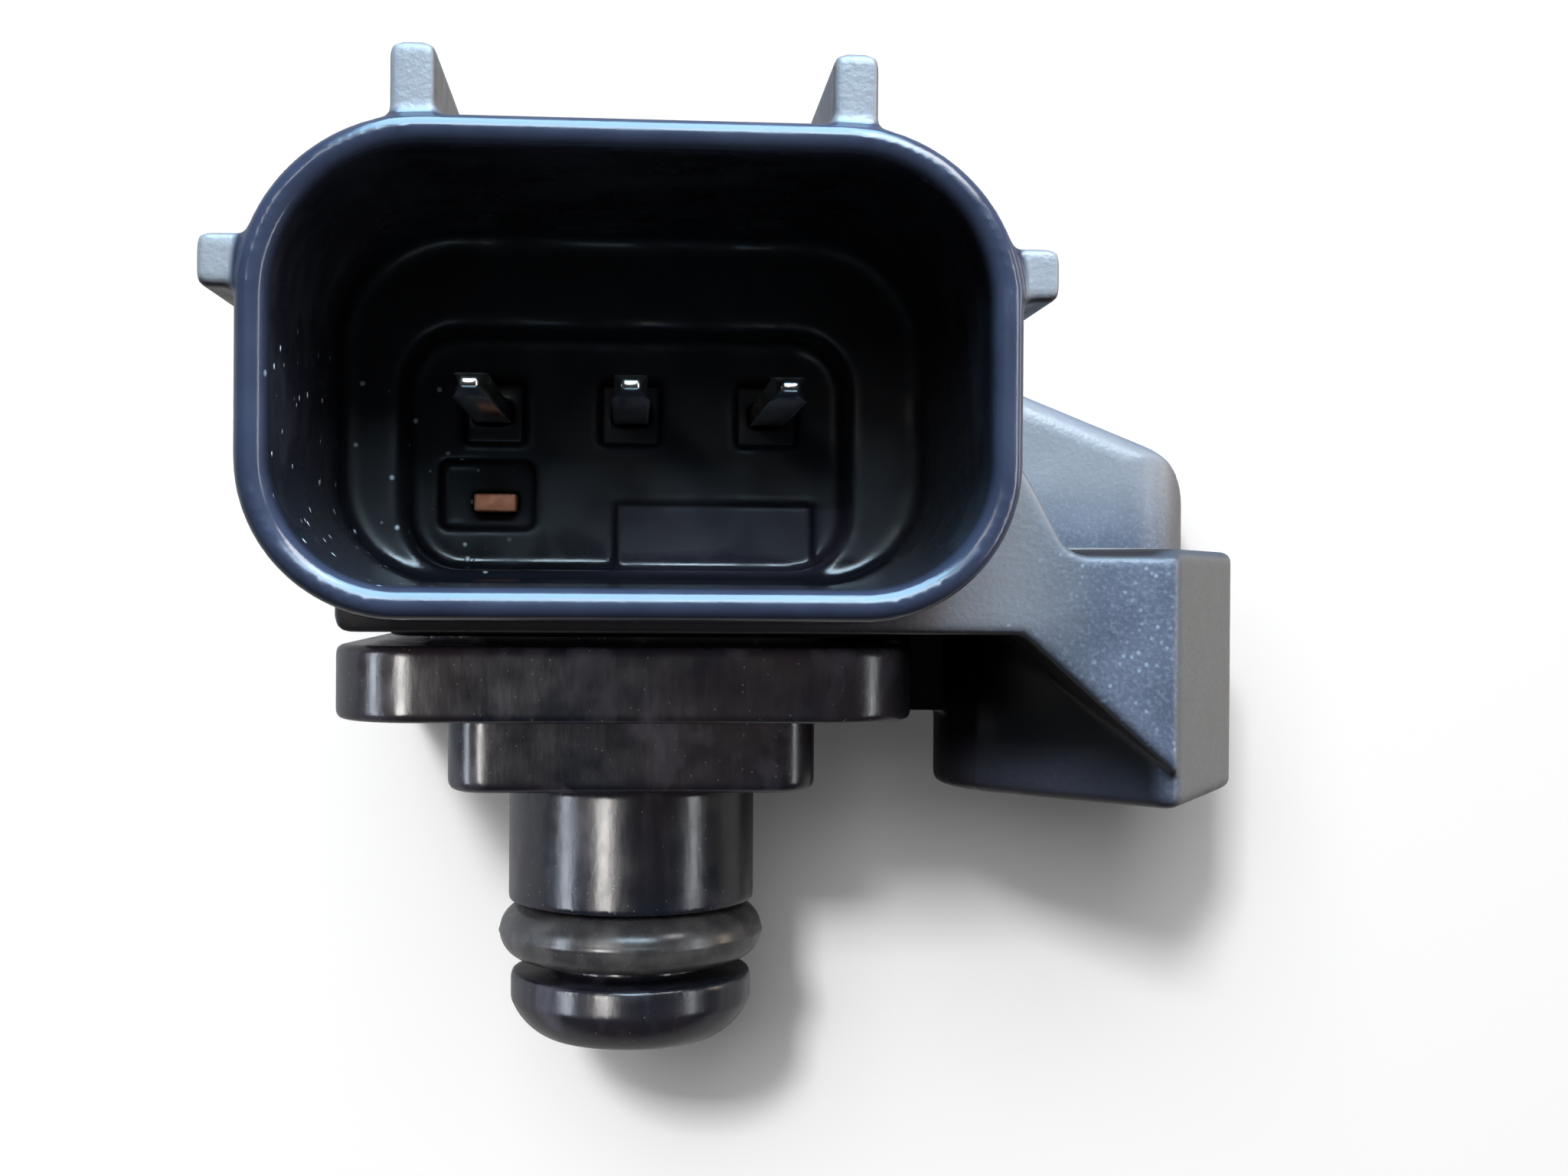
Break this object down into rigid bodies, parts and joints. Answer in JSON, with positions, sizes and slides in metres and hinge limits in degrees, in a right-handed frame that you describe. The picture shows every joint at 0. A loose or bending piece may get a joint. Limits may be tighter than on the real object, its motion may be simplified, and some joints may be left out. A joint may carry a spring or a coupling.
{
  "type": "manifold absolute pressure sensor",
  "caption": "Moulded engine pressure sensor with a sealed-connector shroud and contact pins, a downward nozzle with a rubber ring, and a side bolt ear with a steel bush.",
  "frame": {"origin": "the nozzle's axis on the mounting plane, level with the underside of the port cover's step and of the bolt ear", "axes": "+X towards the bolt ear, -Y out of the connector's mouth, -Z along the nozzle into the manifold"},
  "size_m": [0.0379, 0.0316, 0.0348],
  "materials": {
    "housing_plastic": "black glass-filled plastic, satin",
    "cover_plastic": "dark grey plastic, satin with fine drag marks",
    "rubber": "moulded black rubber, smooth",
    "steel": "zinc-plated steel",
    "sealant": "cured grey adhesive",
    "tin": "tinned brass strip",
    "copper": "bare copper strip",
    "ceramic": "white alumina ceramic",
    "chip_glass": "ground glass block",
    "silicon": "polished silicon",
    "resin": "black moulded resin",
    "capacitor": "fired ceramic body",
    "gold": "fine gold wire",
    "gel": "clear soft gel",
    "solder": "solder, smooth"
  },
  "bodies": {
    "root": {"housing": "housing_plastic", "port_cover": "cover_plastic", "o_ring": "rubber", "ear_bush": "steel", "cover_seal_bead": "sealant", "terminal_left": "tin", "terminal_middle": "tin", "terminal_right": "tin", "trim_terminal": "copper", "sensor_base": "ceramic", "chip_adhesive": "sealant", "glass_pedestal": "chip_glass", "pressure_chip": "silicon", "signal_chip": "resin", "capacitor_supply": "capacitor", "capacitor_signal": "capacitor", "bond_wire_1": "gold", "bond_wire_2": "gold", "bond_wire_3": "gold", "bond_wire_4": "gold", "protective_gel": "gel", "lead_joint_left": "solder", "lead_joint_middle": "solder", "lead_joint_right": "solder"}
  },
  "joints": []
}
